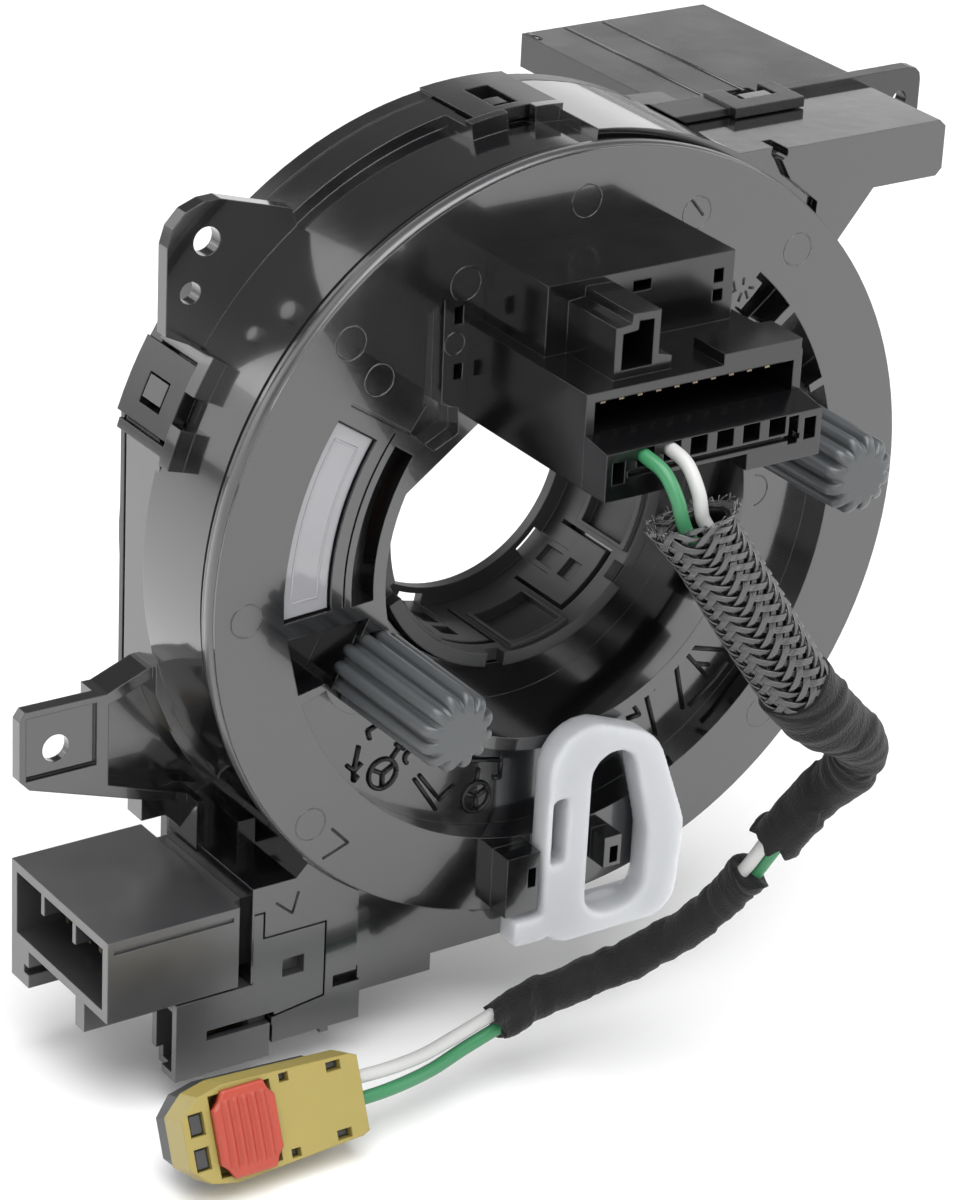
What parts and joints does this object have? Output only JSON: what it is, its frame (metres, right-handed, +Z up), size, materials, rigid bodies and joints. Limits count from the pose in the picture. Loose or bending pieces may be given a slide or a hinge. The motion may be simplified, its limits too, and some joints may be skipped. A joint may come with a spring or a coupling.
{
  "type": "steering clock spring",
  "caption": "Round housing with a turning front rotor that carries drive pins, a connector block and a short airbag lead, and a fixed rear shell with plug sockets and screw tabs.",
  "frame": {"origin": "centre of the column opening on the rear mounting face", "axes": "+Y along the turning axis, from the steering wheel towards the column; +Z up, +X to the right as seen from the wheel"},
  "size_m": [0.1321, 0.0969, 0.1175],
  "materials": {
    "black_plastic": "satin gloss, moulded",
    "dark_plastic": "matte, moulded",
    "pin_plastic": "satin, moulded",
    "clear_plastic": "clear, faintly tinted",
    "white_plastic": "milky, slightly translucent",
    "yellow_plastic": "satin, moulded",
    "orange_plastic": "satin, moulded",
    "tin": "tin plated",
    "copper_film": "flat conductors in clear film",
    "green_insulation": "smooth insulation",
    "white_insulation": "smooth insulation",
    "braid": "woven plastic threads",
    "cloth_tape": "black woven adhesive tape"
  },
  "bodies": {
    "stator": {"stator_shell": "black_plastic", "rear_cover": "black_plastic", "harness_socket": "black_plastic", "harness_terminals": "tin", "small_socket": "black_plastic", "small_terminals": "tin", "rear_terminals": "tin", "ribbon_cable": "copper_film"},
    "rotor": {"rotor_disc": "black_plastic", "snap_ring": "dark_plastic", "inspection_window": "clear_plastic", "connector_block": "black_plastic", "block_terminals": "tin", "comb_plug": "dark_plastic", "drive_pin_left": "pin_plastic", "drive_pin_right": "pin_plastic", "green_wire": "green_insulation", "white_wire": "white_insulation", "braided_sleeve": "braid", "tape_upper": "cloth_tape", "tape_lower": "cloth_tape", "airbag_plug_body": "yellow_plastic", "airbag_plug_base": "dark_plastic"},
    "lock": {"transport_lock": "white_plastic"},
    "plug_lock": {"airbag_plug_lock": "orange_plastic"}
  },
  "joints": [
    {"name": "rotor_turn", "type": "hinge", "parent": "stator", "child": "rotor", "pos_m": [0, 0, 0], "axis": [0, 1, 0], "range_deg": [-900, 900]},
    {"name": "lock_pull", "type": "slide", "parent": "rotor", "child": "lock", "axis": [0, -1, 0], "range_m": [0, 0.006]},
    {"name": "plug_lock_lift", "type": "slide", "parent": "rotor", "child": "plug_lock", "axis": [0, -0.9252, 0.3795], "range_m": [0, 0.003]}
  ]
}
